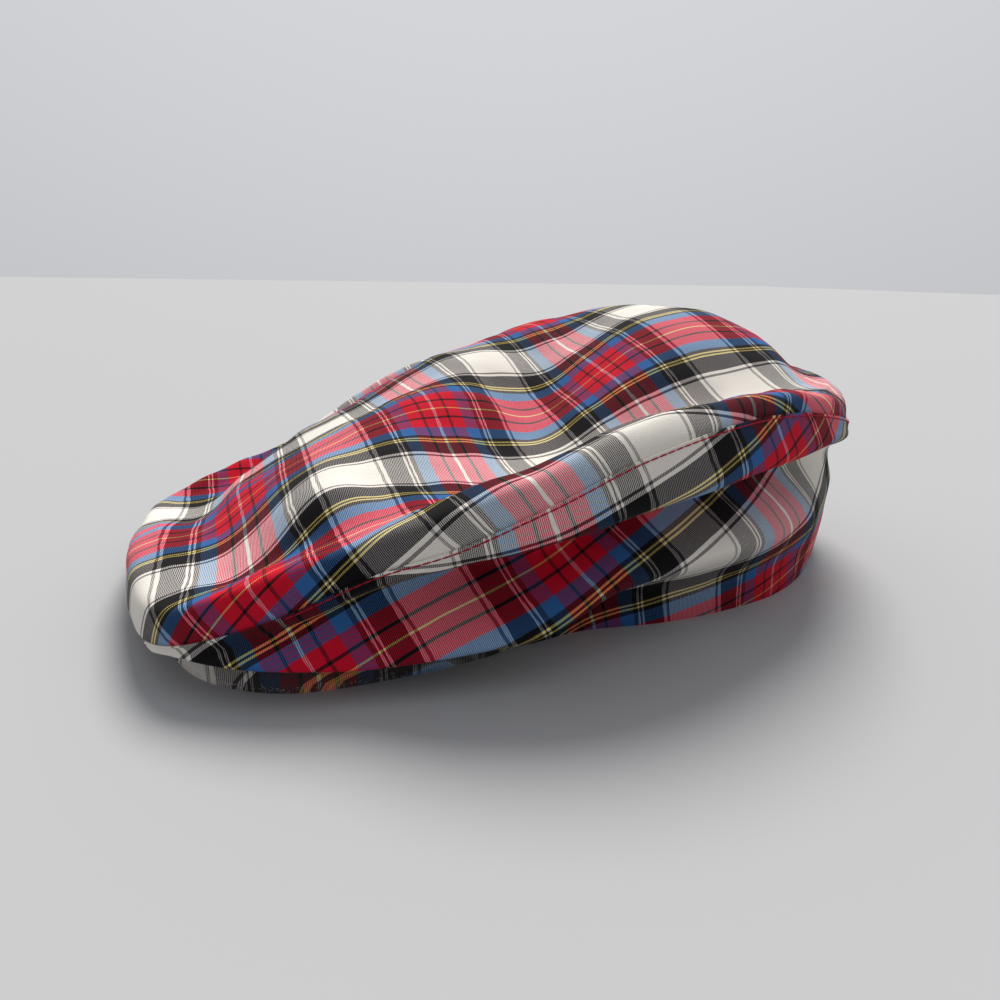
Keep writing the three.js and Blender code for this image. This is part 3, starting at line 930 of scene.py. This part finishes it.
PEAK_END = -32.0  # turn at which it passes under the left side panel
PEAK_DEPTH = 50.0  # from its edge inwards, at the middle
PEAK_END_DEPTH = 12.0
PEAK_TUCKED = 12.0  # its ends run on this many degrees behind the side panels
PEAK_INSET = 2.2  # they pass this far behind the rim there
PEAK_INSET_FROM, PEAK_INSET_TO = 3, 9  # degrees beyond its end over which they do
PEAK_BAND = (55.5, -131)  # where the middles of its white bands cross
PEAK_GRID = (40, 160)
PEAK_CROWDING = 1.5  # its rows crowd towards the edge by this power

# The peak's upper face: share of the depth inwards, and height.
PEAK_LINES = [(0.0, 0.0), (0.01, 2.0), (0.1, 6.5), (0.3, 8.2), (0.5, 9.2), (0.8, 10.4), (1.0, 11.2)]


def peak_surface(rows, columns):
    """The covered peak's upper face from its edge inwards, and its cloth's coordinates."""
    turn = np.linspace(-180 - PEAK_END - PEAK_TUCKED, PEAK_END + PEAK_TUCKED, columns)[None, :]
    beyond = np.abs(turn + 90) - (PEAK_END + 90)
    inset = PEAK_INSET * smooth_step(beyond, PEAK_INSET_FROM, PEAK_INSET_TO)
    middle = np.cos(np.clip((turn + 90) / (PEAK_END + 90), -1, 1) * (math.pi / 2))
    depth = PEAK_END_DEPTH + (PEAK_DEPTH - PEAK_END_DEPTH) * middle
    share = np.linspace(0, 1, rows)[:, None] ** PEAK_CROWDING
    distance = rim_distance(turn) - inset - share * depth
    height = np.interp(share, *zip(*PEAK_LINES))
    points = along_section(np.broadcast_to(turn, (rows, columns)), distance, height)
    cloth = np.stack([points[..., 1] - PEAK_BAND[1], points[..., 0] - PEAK_BAND[0]], -1)
    return points, cloth


peak_points, peak_on_cloth = peak_surface(*PEAK_GRID)
peak = wall("peak_front", peak_points[::-1], peak_on_cloth[::-1])
finish_piece(peak, peak_cloth, "peak_cloth", "peak")

# The peak's cloth is cut raw at its edge, with loose fibres along it.
FIBRES = 800
FIBRE_LONG = (0.4, 1.2)
FIBRE_WIDTH = 0.07
FIBRE_TAPER = np.array([1, 1, 0.8, 0.4])  # shares of its width, ring by ring
FIBRE_SPREAD = 0.7  # how far its way strays from straight out
FIBRE_BEND = 0.35
FIBRE_ROOT = 0.3  # it starts this far inside the edge
FIBRE_HEIGHTS = (0.15, 1.5)  # between which it starts
FIBRES_SHORT = 2  # degrees short of the peak's ends at which they stop


def loose_fibres():
    """Fine fibres that stand out from the peak's edge, each a little bent."""
    random = np.random.default_rng(SEED + 5)
    end = PEAK_END - FIBRES_SHORT
    turn = random.uniform(-180 - end, end, FIBRES)
    edge = rim_distance(turn)
    root = along_section(turn, edge - FIBRE_ROOT, random.uniform(*FIBRE_HEIGHTS, FIBRES))
    outward = unit(along_section(turn, edge + 1, root[:, 2]) - root)
    way = unit(outward + random.normal(0, FIBRE_SPREAD, (FIBRES, 3)))
    bend = random.normal(0, FIBRE_BEND, (FIBRES, 3))
    long = random.uniform(*FIBRE_LONG, FIBRES)[:, None, None]
    share = np.linspace(0, 1, len(FIBRE_TAPER))[None, :, None]
    middle = root[:, None] + (way[:, None] * share + bend[:, None] * share**2) * long
    middle[..., 2] = np.maximum(middle[..., 2], FIBRE_WIDTH)
    along = np.gradient(middle, axis=1)
    across = unit(np.cross(along, random.normal(0, 1, (FIBRES, 1, 3))))
    up = unit(np.cross(across, along))
    return threads("peak_fibres", middle, FIBRE_WIDTH / 2 * FIBRE_TAPER, across, up)


finish_piece(loose_fibres(), raw_thread, "peak_cloth")

# ---- Floor, light and camera ------------------------------------------------------------
FLOOR = 6.0  # metres from its middle to its sides
SKY_WAY = (-0.55, 0.25, 0.8)  # the sky is brightest this way
SKY_RANGE = {"From Min": -0.6, "From Max": 0.6, "To Min": 0.22, "To Max": 0.62}
KEY_WAY = (-0.62, 0.4, 1.15)  # the key light comes from there
KEY_STRENGTH = 3.6
KEY_WIDTH = 28  # degrees of sky that it fills, which softens its shadows
CAMERA_SPOT = (0.2334, -0.1145, 0.1039)
CAMERA_HEADING = 154.66  # degrees from +X, anticlockwise seen from above
CAMERA_PITCH = -18.23
CAMERA_ROLL = 1.14
CAMERA_LENS = 24.98
CAMERA_SENSOR = 36.0
CAMERA_NEAREST = 0.01


def make_floor():
    """A plain light grey floor under the cap."""
    mesh = bpy.data.meshes.new("floor")
    corners = [(-FLOOR, -FLOOR, 0), (FLOOR, -FLOOR, 0), (FLOOR, FLOOR, 0), (-FLOOR, FLOOR, 0)]
    mesh.from_pydata(corners, [], [(0, 1, 2, 3)])
    mesh.materials.append(plain_material("floor", linear(170, 171, 173)))
    floor = add_object("floor", mesh)


def make_sky():
    """A soft white surround, brighter on one side."""
    world = bpy.data.worlds.new("studio")
    bpy.context.scene.world = world
    world.use_nodes = True
    tree = world.node_tree
    sky = tree.nodes["Background"]
    sky.inputs["Color"].default_value = linear(250, 251, 255)
    look = tree.nodes.new("ShaderNodeTexCoord")
    towards = tree.nodes.new("ShaderNodeVectorMath")
    towards.operation = "DOT_PRODUCT"
    towards.inputs[1].default_value = SKY_WAY
    brighter = tree.nodes.new("ShaderNodeMapRange")
    set_values(brighter, SKY_RANGE)
    brighter.clamp = False
    tree.links.new(look.outputs["Generated"], towards.inputs[0])
    tree.links.new(towards.outputs["Value"], brighter.inputs["Value"])
    tree.links.new(brighter.outputs[0], sky.inputs["Strength"])


def make_key():
    """One broad key light."""
    light = bpy.data.lights.new("key", "SUN")
    light.energy = KEY_STRENGTH
    light.angle = math.radians(KEY_WIDTH)
    light.color = linear(255, 252, 247)[:3]
    key = add_object("key", light)
    key.rotation_euler = (-Vector(KEY_WAY)).to_track_quat("-Z", "Y").to_euler()


def make_camera():
    """The camera, low beside the peak's left end."""
    data = bpy.data.cameras.new("camera")
    data.lens = CAMERA_LENS
    data.sensor_width = CAMERA_SENSOR
    data.clip_start = CAMERA_NEAREST
    camera = add_object("camera", data)
    level = Matrix.Rotation(math.radians(CAMERA_HEADING - 90), 4, "Z")
    pitched = level @ Matrix.Rotation(math.radians(90 + CAMERA_PITCH), 4, "X")
    rolled = pitched @ Matrix.Rotation(math.radians(CAMERA_ROLL), 4, "Z")
    camera.matrix_world = Matrix.Translation(CAMERA_SPOT) @ rolled
    bpy.context.scene.camera = camera


bpy.context.scene.view_settings.view_transform = "Standard"
make_floor()
make_sky()
make_key()
make_camera()


# ---- Area of the laid-out cloth ---------------------------------------------------------
def flat_area(cloth, closed):
    """Area in square metres of a laid-out grid."""
    rows, columns = cloth.shape[:2]
    corner = cloth.reshape(-1, 2)[grid_triangles(rows, columns, closed)]
    a, b = corner[:, 1] - corner[:, 0], corner[:, 2] - corner[:, 0]
    return float(np.abs(a[:, 0] * b[:, 1] - a[:, 1] * b[:, 0]).sum() / 2) * MM * MM


def declare(piece, cloth, closed):
    """Works out the area of a panel's laid-out grid; the area is not kept."""
    area = flat_area(cloth, closed)


declare(top_panel, top_on_cloth, True)
for piece, cloth, stitches in side_panels:
    declare(piece, cloth, False)
